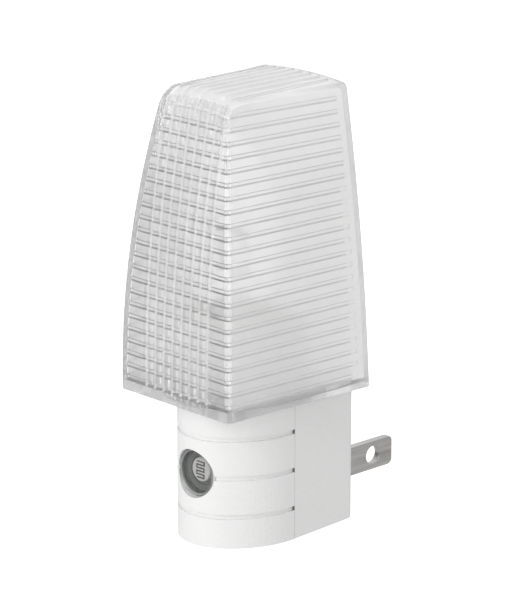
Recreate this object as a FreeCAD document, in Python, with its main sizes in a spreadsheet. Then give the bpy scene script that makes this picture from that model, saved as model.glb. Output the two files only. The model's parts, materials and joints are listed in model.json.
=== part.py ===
import FreeCAD, Part
import math
import os
import Sketcher

# Plug-in night light: a two-shell housing with a light sensor, two flat blades,
# a screw socket with its bulb, and a clear ribbed shade that lifts off.
# Millimetres. X runs across, Y towards the wall, Z up.
# The origin is the middle of the wall face, level with the blades.

os.makedirs("parts", exist_ok=True)
doc = FreeCAD.newDocument("NightLight")

size = {
    # housing
    "baseWidth": 25.9,
    "seamDepth": 17.3,
    "noseStraight": 1.3,
    "noseReach": 16.1,
    "noseTipRadius": 10.7,
    "baseHeight": 31.1,
    "baseDrop": 10.3,
    "undersideRise": 0.65,
    "wall": 1.8,
    "rearEdgeRadius": 1.5,
    "grooveHeight": 1.0,
    "grooveDepth": 0.5,
    "groovePitch": 8.39,
    "lowGrooveLevel": -3.41,
    # tower that carries the socket
    "towerInset": 2.0,
    "towerHeight": 16.2,
    "towerRear": 4.65,
    "towerWall": 1.6,
    "towerRoof": 1.6,
    # sensor window and photocell
    "lensRadius": 4.8,
    "lensLevel": 5.0,
    "lensSunk": 1.35,
    "lensLength": 5.6,
    "lensSkirt": 1.0,
    "lensShoulder": 1.0,
    "lensDome": 0.25,
    "lensFace": 2.1,
    "cellGap": 0.2,
    "cellRadius": 3.6,
    "cellThickness": 2.2,
    "cellLeadRadius": 0.3,
    "cellLeadSpacing": 3.4,
    # blades
    "bladeWidth": 6.35,
    "bladeThickness": 1.52,
    "bladeSpacing": 12.7,
    "bladeLength": 17.4,
    "bladeEndRadius": 1.2,
    "bladeHoleRadius": 1.98,
    "bladeHoleReach": 11.6,
    # circuit board and what stands on it
    "boardBack": 9.0,
    "boardThickness": 1.6,
    "boardHeadroom": 7.7,
    "boardMargin": 0.5,
    "thyristorRadius": 2.3,
    "thyristorFlat": 1.3,
    "thyristorHeight": 4.6,
    "resistorRadius": 1.2,
    "resistorLength": 6.5,
    "diodeRadius": 1.35,
    "diodeLength": 5.0,
    "axialLead": 1.2,
    "axialLegHalf": 0.35,
    "axialLegThickness": 0.5,
    "capacitorRadius": 3.5,
    "capacitorThickness": 2.6,
    "stripWidth": 3.0,
    "stripThickness": 0.5,
    "stripReach": 2.0,
    "contactTail": 3.0,
    # socket
    "socketReach": 5.4,
    "socketDepth": 19.6,
    "socketFloor": 2.0,
    "flangeProud": 1.4,
    "flangeThickness": 1.2,
    "screwShellWall": 0.5,
    "contactRadius": 3.0,
    "contactThickness": 0.8,
    "contactPostRadius": 1.2,
    "shellLip": 1.0,
    # bulb
    "screwRadius": 5.9,
    "screwLength": 14.6,
    "screwWall": 0.4,
    "insulatorHeight": 2.5,
    "insulatorLowRadius": 3.0,
    "insulatorRise": 1.0,
    "tipRadius": 2.4,
    "tipHeight": 1.0,
    "bulbRadius": 9.8,
    "bulbBellyRise": 15.5,
    "bulbCrownRise": 21.5,
    "bulbTipRadius": 1.2,
    "glassWall": 0.7,
    "glassTuck": 4.5,
    "stemRadius": 2.2,
    "stemHeight": 12.0,
    "filamentLevel": 16.0,
    "filamentSpan": 7.0,
    "wireRadius": 0.3,
    "leadBarHalf": 0.5,
    "leadBarHeight": 0.6,
    # shade
    "shadeWallGap": 0.25,
    "shadeDepth": 39.0,
    "shadeHeight": 63.9,
    "shadeCrown": 0.75,
    "shadeWall": 1.5,
    "shadeFloor": 2.0,
    "frontLean": 6.5,
    "rearLean": 1.8,
    "frontWidthLow": 32.9,
    "frontWidthTop": 18.95,
    "rearWidthLow": 36.4,
    "rearWidthTop": 24.3,
    "frontSideRadius": 273,
    "rearSideRadius": 484,
    "frontFaceRadius": 294,
    "topFrontRadius": 3.75,
    "ledgeBackGap": 0.5,
    "trimMargin": 5.0,
    # ribs inside the shade
    "ribPitch": 2.635,
    "lowRibRise": 5.43,
    "ribHeight": 0.75,
    "ribDepth": 0.45,
    "ribEndGap": 4.85,
    # clearances
    "fitGap": 0.05,
    "threadGap": 0.08,
    "shadeGap": 1.0,
    "overCut": 1.0,
}

sheet = doc.addObject("Spreadsheet::Sheet", "Sizes")
for row, (alias, amount) in enumerate(size.items(), start=1):
    sheet.set("A%d" % row, alias)
    sheet.set("B%d" % row, str(amount))
    sheet.setAlias("B%d" % row, alias)
doc.recompute()


def cell(alias):
    return "Sizes." + alias


# Levels and places that several pieces share, written from the cells
underside = "(-Sizes.baseDrop)"
shoulder = "(Sizes.baseHeight - Sizes.baseDrop)"
towerTop = "(%s + Sizes.towerHeight)" % shoulder
halfWidth = "(Sizes.baseWidth / 2)"
noseTip = "(-Sizes.seamDepth - Sizes.noseStraight - Sizes.noseReach)"
lensBack = "(%s + Sizes.lensSunk + Sizes.lensLength)" % noseTip
cellFront = "(%s + Sizes.lensSunk + Sizes.lensFace + Sizes.cellGap)" % noseTip
towerBack = "(Sizes.seamDepth - Sizes.towerRear)"
socketAxis = "(Sizes.seamDepth + Sizes.socketReach)"
socketRadius = "(0.3 * Sizes.baseWidth)"
flangeRadius = "(%s + Sizes.flangeProud)" % socketRadius
boardAcross = "(Sizes.baseWidth - 2 * Sizes.wall - 2 * Sizes.fitGap)"
boardHeight = "(Sizes.baseHeight - Sizes.boardHeadroom)"
boardFront = "(-Sizes.boardBack - Sizes.boardThickness)"
boardLow = "(%s + Sizes.wall + Sizes.fitGap)" % underside
boardTop = "(%s + %s)" % (boardLow, boardHeight)
socketLow = "(%s - Sizes.socketDepth)" % towerTop
socketSeat = "(%s + Sizes.socketFloor)" % socketLow
contactTop = "(%s + Sizes.contactThickness)" % socketSeat
bulbLow = "(%s + Sizes.fitGap)" % contactTop
insulatorLow = "(%s + Sizes.tipHeight)" % bulbLow
screwLow = "(%s + Sizes.insulatorHeight)" % insulatorLow
screwTop = "(%s + Sizes.screwLength)" % screwLow
glassNeck = "(Sizes.screwRadius - Sizes.screwWall)"
screwShellBore = "(Sizes.screwRadius + Sizes.threadGap)"
screwShellOuter = "(%s + Sizes.screwShellWall)" % screwShellBore


def amountOf(owner, text):
    result = owner.evalExpression(text)
    return float(getattr(result, "Value", result))


def newBody(name):
    body = doc.addObject("PartDesign::Body", name)
    body.Label = name
    return body


def newSketch(body, name, role, offset="0"):
    # XY looks down Z, XZ looks along Y with its normal to -Y, YZ looks along X
    sketch = body.newObject("Sketcher::SketchObject", name)
    plane = [item for item in body.Origin.OriginFeatures if item.Role == role][0]
    sketch.AttachmentSupport = [(plane, "")]
    sketch.MapMode = "FlatFace"
    sketch.setExpression("AttachmentOffset.Base.z", offset)
    return sketch


def arcBetween(start, end, radius, turn):
    # turn is 1 when the arc runs anticlockwise from start to end
    along = end - start
    middle = (start + end) * 0.5
    reach = math.sqrt(max(radius ** 2 - (along.Length / 2) ** 2, 0))
    left = FreeCAD.Vector(-along.y, along.x, 0).normalize()
    centre = middle + left * (reach * turn)
    first, last = (start, end) if turn > 0 else (end, start)
    circle = Part.Circle(centre, FreeCAD.Vector(0, 0, 1), radius)
    low = math.atan2(first.y - centre.y, first.x - centre.x)
    high = math.atan2(last.y - centre.y, last.x - centre.x)
    if high <= low:
        high += 2 * math.pi
    return Part.ArcOfCircle(circle, low, high)


def loop(sketch, corners, arcs=None):
    # A closed outline: corners are pairs of formulas, arcs maps a side's number
    # to its radius formula and its turn
    arcs = arcs or {}
    points = []
    for across, up in corners:
        points.append(FreeCAD.Vector(amountOf(sketch, across), amountOf(sketch, up), 0))
    base = len(sketch.Geometry)
    ends = []
    for index, point in enumerate(points):
        following = points[(index + 1) % len(points)]
        if index in arcs:
            radius, turn = arcs[index]
            curve = arcBetween(point, following, amountOf(sketch, radius), turn)
            sketch.addGeometry(curve)
            ends.append((1, 2) if turn > 0 else (2, 1))
        else:
            sketch.addGeometry(Part.LineSegment(point, following))
            ends.append((1, 2))
    for index in range(len(points)):
        following = (index + 1) % len(points)
        join = Sketcher.Constraint(
            "Coincident", base + index, ends[index][1], base + following, ends[following][0]
        )
        sketch.addConstraint(join)
    for index, (across, up) in enumerate(corners):
        for kind, text, amount in (
            ("DistanceX", across, points[index].x),
            ("DistanceY", up, points[index].y),
        ):
            pin = Sketcher.Constraint(kind, -1, 1, base + index, ends[index][0], amount)
            number = sketch.addConstraint(pin)
            sketch.setExpression("Constraints[%d]" % number, text)
    for index, (radius, turn) in arcs.items():
        bend = Sketcher.Constraint("Radius", base + index, amountOf(sketch, radius))
        number = sketch.addConstraint(bend)
        sketch.setExpression("Constraints[%d]" % number, radius)


def ring(sketch, across, up, radius):
    centre = FreeCAD.Vector(amountOf(sketch, across), amountOf(sketch, up), 0)
    item = len(sketch.Geometry)
    sketch.addGeometry(Part.Circle(centre, FreeCAD.Vector(0, 0, 1), amountOf(sketch, radius)))
    for kind, text, amount in (("DistanceX", across, centre.x), ("DistanceY", up, centre.y)):
        number = sketch.addConstraint(Sketcher.Constraint(kind, -1, 1, item, 3, amount))
        sketch.setExpression("Constraints[%d]" % number, text)
    number = sketch.addConstraint(Sketcher.Constraint("Radius", item, amountOf(sketch, radius)))
    sketch.setExpression("Constraints[%d]" % number, radius)


def rectangle(sketch, left, low, right, high):
    loop(sketch, [(left, low), (right, low), (right, high), (left, high)])


def noseOutline(sketch, inset="0", back="0"):
    # The housing's plan: straight sides and a nose of three arcs that meet smoothly.
    # inset draws it smaller all round, back carries it past the seam.
    half = "(%s - (%s))" % (halfWidth, inset)
    tipRadius = "(Sizes.noseTipRadius - (%s))" % inset
    reach = "(Sizes.noseReach - Sizes.noseTipRadius)"
    sideRadius = "((%s ^ 2 + %s ^ 2 - %s ^ 2) / (2 * (%s - Sizes.noseTipRadius)))" % (
        half, reach, tipRadius, halfWidth
    )
    spread = "(%s - %s)" % (sideRadius, tipRadius)
    seamLine = "(-Sizes.seamDepth + (%s))" % back
    bendLine = "(-Sizes.seamDepth - Sizes.noseStraight)"
    joinAcross = "(%s * (%s - %s) / %s)" % (tipRadius, sideRadius, half, spread)
    joinUp = "(%s - %s - %s * %s / %s)" % (bendLine, reach, tipRadius, reach, spread)
    corners = [
        ("-" + half, bendLine),
        ("-" + joinAcross, joinUp),
        (joinAcross, joinUp),
        (half, bendLine),
        (half, seamLine),
        ("-" + half, seamLine),
    ]
    loop(sketch, corners, {0: (sideRadius, 1), 1: (tipRadius, 1), 2: (sideRadius, 1)})


def grow(body, kind, name, sketch, length):
    # Pad or Pocket with a check that it really adds or removes material
    before = body.Shape.Volume if body.Shape and not body.Shape.isNull() else 0
    feature = body.newObject("PartDesign::" + kind, name)
    feature.Profile = sketch
    feature.setExpression("Length", length)
    doc.recompute()
    change = body.Shape.Volume - before
    if (change > 0) != (kind == "Pad") or abs(change) < 1e-6:
        raise RuntimeError("%s changes nothing on %s" % (name, body.Label))
    return feature


def turned(body, name, sketch):
    feature = body.newObject("PartDesign::Revolution", name)
    feature.Profile = sketch
    feature.ReferenceAxis = (sketch, ["V_Axis"])
    feature.Angle = 360
    doc.recompute()
    return feature


def rounded(body, name, wanted, radius):
    # wanted picks edges by their middle point
    base = body.Tip
    names = []
    for index, edge in enumerate(base.Shape.Edges, start=1):
        middle = edge.valueAt((edge.FirstParameter + edge.LastParameter) / 2)
        if wanted(edge, middle):
            names.append("Edge%d" % index)
    feature = body.newObject("PartDesign::Fillet", name)
    feature.Base = (base, names)
    feature.setExpression("Radius", radius)
    doc.recompute()
    return feature


def placed(obj, across, along, up):
    obj.setExpression("Placement.Base.x", across)
    obj.setExpression("Placement.Base.y", along)
    obj.setExpression("Placement.Base.z", up)
    return obj


def block(name, low, spans):
    obj = doc.addObject("Part::Box", name)
    for prop, text in zip(("Length", "Width", "Height"), spans):
        obj.setExpression(prop, text)
    return placed(obj, *low)


def rod(name, radius, length, foot, axis="Z"):
    obj = doc.addObject("Part::Cylinder", name)
    turns = {"X": (FreeCAD.Vector(0, 1, 0), 90), "Y": (FreeCAD.Vector(1, 0, 0), -90)}
    if axis in turns:
        obj.Placement = FreeCAD.Placement(FreeCAD.Vector(), FreeCAD.Rotation(*turns[axis]))
    obj.setExpression("Radius", radius)
    obj.setExpression("Height", length)
    return placed(obj, *foot)


def joined(name, pieces):
    obj = doc.addObject("Part::MultiFuse", name)
    obj.Shapes = pieces
    obj.Label = name
    return obj


def grouped(name, pieces):
    obj = doc.addObject("Part::Compound", name)
    obj.Links = pieces
    obj.Label = name
    return obj


def lessen(name, base, tool):
    obj = doc.addObject("Part::Cut", name)
    obj.Base = base
    obj.Tool = tool
    obj.Label = name
    return obj


def socketMouth(body, name):
    sketch = newSketch(body, name + "Outline", "XY_Plane", towerTop)
    ring(sketch, "0", "-" + socketAxis, "%s + Sizes.fitGap" % socketRadius)
    grow(body, "Pocket", name, sketch, "Sizes.towerRoof + Sizes.overCut")


def makeFrontShell():
    body = newBody("front_shell")
    plan = newSketch(body, "FrontPlan", "XY_Plane", underside)
    noseOutline(plan)
    grow(body, "Pad", "FrontWall", plan, cell("baseHeight"))
    tower = newSketch(body, "FrontTowerPlan", "XY_Plane", shoulder)
    noseOutline(tower, cell("towerInset"))
    grow(body, "Pad", "FrontTower", tower, cell("towerHeight"))
    inner = newSketch(body, "FrontInnerPlan", "XY_Plane", "%s - Sizes.wall" % shoulder)
    noseOutline(inner, cell("wall"), cell("overCut"))
    grow(body, "Pocket", "FrontInside", inner, "Sizes.baseHeight - 2 * Sizes.wall")
    well = newSketch(body, "FrontWellPlan", "XY_Plane", "%s - Sizes.towerRoof" % towerTop)
    noseOutline(well, "Sizes.towerInset + Sizes.towerWall", cell("overCut"))
    depth = "Sizes.towerHeight - Sizes.towerRoof + Sizes.wall + Sizes.overCut"
    grow(body, "Pocket", "FrontWell", well, depth)
    socketMouth(body, "FrontMouth")
    for count in range(3):
        level = "Sizes.lowGrooveLevel + %d * Sizes.groovePitch + Sizes.grooveHeight / 2" % count
        band = newSketch(body, "GroovePlan%d" % count, "XY_Plane", level)
        noseOutline(band, "-Sizes.overCut", "2 * Sizes.overCut")
        noseOutline(band, cell("grooveDepth"), cell("overCut"))
        grow(body, "Pocket", "Groove%d" % count, band, cell("grooveHeight"))
    window = newSketch(body, "WindowPlan", "XZ_Plane", "-%s + Sizes.overCut" % noseTip)
    ring(window, "0", cell("lensLevel"), "Sizes.lensRadius + Sizes.fitGap")
    reach = "Sizes.overCut + Sizes.lensLength"
    grow(body, "Pocket", "Window", window, reach)
    return body


def makeRearShell():
    body = newBody("rear_shell")
    side = newSketch(body, "RearProfile", "YZ_Plane", "-" + halfWidth)
    loop(side, [
        ("-Sizes.seamDepth", underside),
        ("0", "%s + Sizes.undersideRise" % underside),
        ("0", shoulder),
        ("-Sizes.seamDepth", shoulder),
    ])
    grow(body, "Pad", "RearWall", side, cell("baseWidth"))

    def atBack(edge, middle):
        onWall = abs(middle.y) < 1e-4
        alongTop = abs(middle.x) < 1e-4 and abs(middle.z - amountOf(body, shoulder)) < 1e-4
        return onWall and not alongTop
    rounded(body, "RearEdges", atBack, cell("rearEdgeRadius"))
    towerHalf = "(%s - Sizes.towerInset)" % halfWidth
    tower = newSketch(body, "RearTowerPlan", "XY_Plane", shoulder)
    rectangle(tower, "-" + towerHalf, "-Sizes.seamDepth", towerHalf, "-" + towerBack)
    grow(body, "Pad", "RearTower", tower, cell("towerHeight"))
    innerHalf = "(%s - Sizes.wall)" % halfWidth
    inner = newSketch(body, "RearInner", "XZ_Plane", cell("seamDepth"))
    rectangle(inner, "-" + innerHalf, "%s + Sizes.wall" % underside,
              innerHalf, "%s - Sizes.wall" % shoulder)
    grow(body, "Pocket", "RearInside", inner, "Sizes.seamDepth - Sizes.wall")
    wellHalf = "(%s - Sizes.towerWall)" % towerHalf
    well = newSketch(body, "RearWell", "XZ_Plane", cell("seamDepth"))
    rectangle(well, "-" + wellHalf, "%s - Sizes.wall - Sizes.overCut" % shoulder,
              wellHalf, "%s - Sizes.towerRoof" % towerTop)
    grow(body, "Pocket", "RearWellCut", well, "Sizes.seamDepth - %s - Sizes.towerWall" % towerBack)
    socketMouth(body, "RearMouth")
    slots = newSketch(body, "BladeSlots", "XZ_Plane", "Sizes.wall + Sizes.overCut")
    for side in (-1, 1):
        middle = "%d * Sizes.bladeSpacing / 2" % side
        reach = "(Sizes.bladeThickness / 2 + Sizes.fitGap)"
        rise = "(Sizes.bladeWidth / 2 + Sizes.fitGap)"
        rectangle(slots, "%s - %s" % (middle, reach), "-" + rise,
                  "%s + %s" % (middle, reach), rise)
    grow(body, "Pocket", "Slots", slots, "Sizes.wall + 2 * Sizes.overCut")
    return body


def makeBlade(name, side):
    middle = "(%d * Sizes.bladeSpacing / 2)" % side
    body = newBody(name)
    face = newSketch(body, name + "Outline", "YZ_Plane", "%s - Sizes.bladeThickness / 2" % middle)
    rise = "(Sizes.bladeWidth / 2)"
    turn = cell("bladeEndRadius")
    loop(face, [
        ("-Sizes.boardBack", "-" + rise),
        ("Sizes.bladeLength - " + turn, "-" + rise),
        ("Sizes.bladeLength", "-%s + %s" % (rise, turn)),
        ("Sizes.bladeLength", "%s - %s" % (rise, turn)),
        ("Sizes.bladeLength - " + turn, rise),
        ("-Sizes.boardBack", rise),
    ], {1: (turn, 1), 3: (turn, 1)})
    ring(face, cell("bladeHoleReach"), "0", cell("bladeHoleRadius"))
    grow(body, "Pad", name + "Plate", face, cell("bladeThickness"))
    return body


def makeLens():
    body = newBody("sensor_lens")
    half = newSketch(body, "LensProfile", "XY_Plane", cell("lensLevel"))
    front = "(%s + Sizes.lensSunk)" % noseTip
    bore = "(Sizes.lensRadius - Sizes.lensSkirt)"
    loop(half, [
        ("0", front),
        ("Sizes.lensRadius - Sizes.lensShoulder", "%s + Sizes.lensDome" % front),
        ("Sizes.lensRadius", "%s + Sizes.lensShoulder" % front),
        (cell("lensRadius"), lensBack),
        (bore, lensBack),
        (bore, "%s + Sizes.lensFace" % front),
        ("0", "%s + Sizes.lensFace" % front),
    ])
    turned(body, "LensTurn", half)
    return body


def makePhotocell():
    cellDisc = rod("photocell", cell("cellRadius"), cell("cellThickness"),
                   ("0", cellFront, cell("lensLevel")), "Y")
    leads = []
    start = "(%s + Sizes.cellThickness)" % cellFront
    for side in (-1, 1):
        foot = ("%d * Sizes.cellLeadSpacing / 2" % side, start, cell("lensLevel"))
        leads.append(rod("CellLead%d" % (side + 1), cell("cellLeadRadius"),
                         "%s - %s" % (boardFront, start), foot, "Y"))
    return cellDisc, grouped("photocell_leads", leads)


def makeBoard():
    low = ("-%s / 2" % boardAcross, boardFront, boardLow)
    return block("circuit_board", low, (boardAcross, cell("boardThickness"), boardHeight))


def makeThyristor():
    across = "(%s / 2 - Sizes.boardMargin - Sizes.thyristorRadius)" % boardAcross
    level = "%s + 0.55 * %s" % (boardLow, boardHeight)
    axis = "%s - Sizes.thyristorFlat" % boardFront
    drum = rod("ThyristorDrum", cell("thyristorRadius"), cell("thyristorHeight"),
               (across, axis, level))
    trim = block("ThyristorTrim", (across + " - 2 * Sizes.thyristorRadius", boardFront,
                                   "%s - Sizes.overCut" % level),
                 ("4 * Sizes.thyristorRadius", "2 * Sizes.thyristorRadius",
                  "Sizes.thyristorHeight + 2 * Sizes.overCut"))
    return lessen("thyristor", drum, trim)


def makeAxial(name, radius, length, level):
    # a round body on the board with a short lead at each end
    axis = "(%s - %s - Sizes.fitGap)" % (boardFront, radius)
    left = "(Sizes.boardMargin + Sizes.axialLead - %s / 2)" % boardAcross
    half = cell("axialLegHalf")
    drum = rod(name + "Drum", radius, length, (left, axis, level), "X")
    pieces = [drum]
    outers = {"Left": "%s - Sizes.axialLead" % left, "Right": "%s + %s" % (left, length)}
    for label, start in outers.items():
        arm = rod(name + label + "Arm", "Sizes.wireRadius * 0.8", "Sizes.axialLead",
                  (start, axis, level), "X")
        end = "%s - %s / 2" % (start, cell("axialLegThickness"))
        if label == "Right":
            end = "%s + Sizes.axialLead" % end
        leg = block(name + label + "Leg",
                    (end, "%s - %s" % (axis, half), "%s - %s" % (level, half)),
                    ("Sizes.axialLegThickness", "%s - %s + %s" % (boardFront, axis, half),
                     "2 * " + half))
        pieces += [arm, leg]
    return joined(name, pieces)


def makeCapacitor():
    across = "(%s / 2 - Sizes.boardMargin - Sizes.capacitorRadius)" % boardAcross
    foot = (across, "%s - Sizes.capacitorThickness" % boardFront,
            "%s + 0.22 * %s" % (boardLow, boardHeight))
    return rod("capacitor", cell("capacitorRadius"), cell("capacitorThickness"), foot, "Y")


def makeNeutralStrip():
    # brass strip from the left blade up and over the board to the socket
    left = "-Sizes.bladeSpacing / 2 - Sizes.stripWidth / 2"
    back = "(-Sizes.boardBack / 2)"
    low = "Sizes.bladeWidth / 2"
    high = "(%s)" % socketLow
    riser = block("NeutralRiser", (left, "%s - Sizes.stripThickness" % back, low),
                  ("Sizes.stripWidth", "Sizes.stripThickness", "%s - (%s)" % (high, low)))
    front = "(-%s + Sizes.stripReach)" % socketAxis
    arm = block("NeutralArm", (left, front, "%s - Sizes.stripThickness" % high),
                ("Sizes.stripWidth", "%s - %s" % (back, front), "Sizes.stripThickness"))
    return joined("neutral_strip", [riser, arm])


def makeCentreContact():
    foot = ("0", "-" + socketAxis)
    disc = rod("ContactDisc", "Sizes.contactRadius", "Sizes.contactThickness",
               foot + (socketSeat,))
    post = rod("ContactPost", "Sizes.contactPostRadius", "Sizes.socketFloor",
               foot + (socketLow,))
    left = "-Sizes.stripWidth / 2"
    front = "(-%s - Sizes.stripWidth / 2)" % socketAxis
    arm = block("ContactArm", (left, front, "%s - Sizes.stripThickness" % socketLow),
                ("Sizes.stripWidth", "%s - %s" % (boardFront, front), "Sizes.stripThickness"))
    tail = block("ContactTail", (left, "%s - Sizes.stripThickness" % boardFront,
                                 "%s - Sizes.contactTail" % boardTop),
                 ("Sizes.stripWidth", "Sizes.stripThickness",
                  "%s - (%s - Sizes.contactTail)" % (socketLow, boardTop)))
    return joined("centre_contact", [disc, post, arm, tail])


def makeSocketInsulator():
    body = newBody("socket_insulator")
    half = newSketch(body, "InsulatorProfile", "XZ_Plane", socketAxis)
    bore = "(%s + Sizes.fitGap)" % screwShellOuter
    top = "(%s + Sizes.flangeThickness)" % towerTop
    eye = "(Sizes.contactPostRadius + Sizes.fitGap)"
    loop(half, [
        (eye, socketLow),
        (socketRadius, socketLow),
        (socketRadius, towerTop),
        (flangeRadius, towerTop),
        (flangeRadius, top),
        (bore, top),
        (bore, socketSeat),
        (eye, socketSeat),
    ])
    turned(body, "InsulatorTurn", half)
    return body


def makeScrewShell():
    body = newBody("socket_shell")
    half = newSketch(body, "ScrewShellProfile", "XZ_Plane", socketAxis)
    floorTop = "(%s + Sizes.screwShellWall)" % socketSeat
    lip = "(Sizes.contactRadius + Sizes.shellLip)"
    loop(half, [
        (lip, socketSeat),
        (screwShellOuter, socketSeat),
        (screwShellOuter, towerTop),
        (screwShellBore, towerTop),
        (screwShellBore, floorTop),
        (lip, floorTop),
    ])
    turned(body, "ScrewShellTurn", half)
    return body


def makeBulbBase():
    body = newBody("bulb_screw_base")
    half = newSketch(body, "BulbBaseProfile", "XZ_Plane", socketAxis)
    loop(half, [
        (glassNeck, screwLow),
        (cell("screwRadius"), screwLow),
        (cell("screwRadius"), screwTop),
        (glassNeck, screwTop),
    ])
    turned(body, "BulbBaseTurn", half)
    plug = newBody("bulb_insulator")
    half = newSketch(plug, "BulbPlugProfile", "XZ_Plane", socketAxis)
    loop(half, [
        ("0", insulatorLow),
        (cell("insulatorLowRadius"), insulatorLow),
        (glassNeck, screwLow),
        (glassNeck, "%s + Sizes.insulatorRise" % screwLow),
        ("0", "%s + Sizes.insulatorRise" % screwLow),
    ])
    turned(plug, "BulbPlugTurn", half)
    tip = newBody("bulb_contact")
    half = newSketch(tip, "BulbTipProfile", "XZ_Plane", socketAxis)
    loop(half, [
        ("0", bulbLow),
        ("Sizes.tipRadius * 0.6", bulbLow),
        (cell("tipRadius"), insulatorLow),
        ("0", insulatorLow),
    ])
    turned(tip, "BulbTipTurn", half)
    return body, plug, tip


def flameArcs(inset):
    # the bulb's belly and crown arcs both start level at its widest place
    wide = "(Sizes.bulbRadius - (%s))" % inset
    neck = "(%s - (%s))" % (glassNeck, inset)
    rise = "Sizes.bulbBellyRise"
    crown = "(Sizes.bulbCrownRise - (%s))" % inset
    tip = "Sizes.bulbTipRadius"
    lower = "(((%s - %s) ^ 2 + %s ^ 2) / (2 * (%s - %s)))" % (wide, neck, rise, wide, neck)
    upper = "(((%s - %s) ^ 2 + %s ^ 2) / (2 * (%s - %s)))" % (wide, tip, crown, wide, tip)
    level = "(%s + %s)" % (screwTop, rise)
    return wide, neck, lower, upper, level, tip, "(%s + %s)" % (level, crown)


def makeBulbGlass():
    body = newBody("bulb_glass")
    half = newSketch(body, "GlassProfile", "XZ_Plane", socketAxis)
    low = "(%s - Sizes.glassTuck)" % screwTop
    wide, neck, lower, upper, level, tip, top = flameArcs("Sizes.fitGap")
    inside = flameArcs("Sizes.glassWall")
    loop(half, [
        (inside[1], low),
        (neck, low),
        (neck, screwTop),
        (wide, level),
        (tip, top),
        ("0", top),
        ("0", inside[6]),
        (inside[5], inside[6]),
        (inside[0], level),
        (inside[1], screwTop),
    ], {2: (lower, 1), 3: (upper, 1), 7: (inside[3], -1), 8: (inside[2], -1)})
    turned(body, "GlassTurn", half)
    return body


def makeBulbInside():
    axis = "-" + socketAxis
    stem = doc.addObject("Part::Cone", "bulb_stem")
    stem.Label = "bulb_stem"
    stem.setExpression("Radius1", "%s - Sizes.glassWall - Sizes.fitGap" % glassNeck)
    stem.setExpression("Radius2", "Sizes.stemRadius / 2")
    stem.setExpression("Height", "Sizes.stemHeight")
    placed(stem, "0", axis, "%s - Sizes.glassTuck" % screwTop)
    stemTop = "(%s - Sizes.glassTuck + Sizes.stemHeight)" % screwTop
    hot = "(%s + Sizes.filamentLevel)" % screwTop
    wires = []
    for side in (-1, 1):
        wires.append(rod("LeadFoot%d" % (side + 1), "Sizes.wireRadius",
                         "%s - %s" % (hot, stemTop),
                         ("%d * Sizes.filamentSpan / 2" % side, axis, stemTop)))
    bar = block("LeadBar", ("-Sizes.filamentSpan / 2 - Sizes.leadBarHalf",
                            axis + " - Sizes.leadBarHalf", stemTop),
                ("Sizes.filamentSpan + 2 * Sizes.leadBarHalf", "2 * Sizes.leadBarHalf",
                 "Sizes.leadBarHeight"))
    leads = joined("filament_leads", wires + [bar])
    coil = rod("filament", "Sizes.wireRadius * 1.5", "Sizes.filamentSpan + 2 * Sizes.leadBarHalf",
               ("-Sizes.filamentSpan / 2 - Sizes.leadBarHalf", axis, "%s + Sizes.wireRadius * 1.5" % hot), "X")
    return stem, leads, coil


shadeLow = shoulder
shadeBack = "(-Sizes.shadeWallGap)"
shadeFront = "(%s - Sizes.shadeDepth)" % shadeBack


def shadeSection(body, name, offset, widthLow, widthTop, sideRadius, inset):
    # one cross-section of the shade: bowed sides and a slightly crowned top
    sketch = newSketch(body, name, "XZ_Plane", offset)
    low = "(%s / 2 - (%s))" % (widthLow, inset)
    top = "(%s / 2 - (%s))" % (widthTop, inset)
    head = "(%s + Sizes.shadeHeight - (%s))" % (shadeLow, inset)
    crown = "((%s ^ 2 + Sizes.shadeCrown ^ 2) / (2 * Sizes.shadeCrown))" % top
    loop(sketch, [
        ("-" + low, shadeLow),
        (low, shadeLow),
        (top, head),
        ("-" + top, head),
    ], {1: (sideRadius, 1), 2: (crown, 1), 3: (sideRadius, 1)})
    return sketch


def shadeForm(name, inset):
    body = newBody(name)
    front = shadeSection(body, name + "Front", "-" + shadeFront, "Sizes.frontWidthLow",
                         "Sizes.frontWidthTop", "Sizes.frontSideRadius", inset)
    back = shadeSection(body, name + "Back", "0", "Sizes.rearWidthLow",
                        "Sizes.rearWidthTop", "Sizes.rearSideRadius", inset)
    loft = body.newObject("PartDesign::AdditiveLoft", name + "Loft")
    loft.Profile = front
    loft.Sections = [back]
    loft.Ruled = True
    doc.recompute()
    # trim to the bowed front face and the leaning rear face
    reach = "(Sizes.rearWidthLow / 2 + Sizes.trimMargin)"
    trim = newSketch(body, name + "Trim", "YZ_Plane", reach)
    low = "(%s - 2 * Sizes.overCut)" % shadeLow
    high = "(%s + Sizes.shadeHeight + Sizes.shadeCrown + 2 * Sizes.overCut)" % shadeLow
    frontLow = "(%s + (%s))" % (shadeFront, inset)
    rearLow = "(%s - (%s))" % (shadeBack, inset)
    margin = cell("trimMargin")
    rectangle(trim, "%s - %s" % (shadeFront, margin), "%s - %s" % (low, margin), margin,
              "%s + %s" % (high, margin))
    loop(trim, [
        (frontLow, low),
        (rearLow, low),
        (rearLow, shadeLow),
        ("%s - Sizes.rearLean" % rearLow, high),
        ("%s + Sizes.frontLean" % frontLow, high),
        (frontLow, shadeLow),
    ], {4: ("Sizes.frontFaceRadius", 1)})
    grow(body, "Pocket", name + "Trimmed", trim, "2 * " + reach)
    return body


def frontTopEdge(edge, middle):
    ends = [vertex.Point for vertex in edge.Vertexes]
    atTop = middle.z > 0.9 * size["shadeHeight"] and middle.y < -0.5 * size["shadeDepth"]
    across = len(ends) == 2 and abs(ends[0].x - ends[1].x) > 0.5 * size["frontWidthTop"]
    return atTop and across and abs(middle.x) < 0.01


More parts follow.
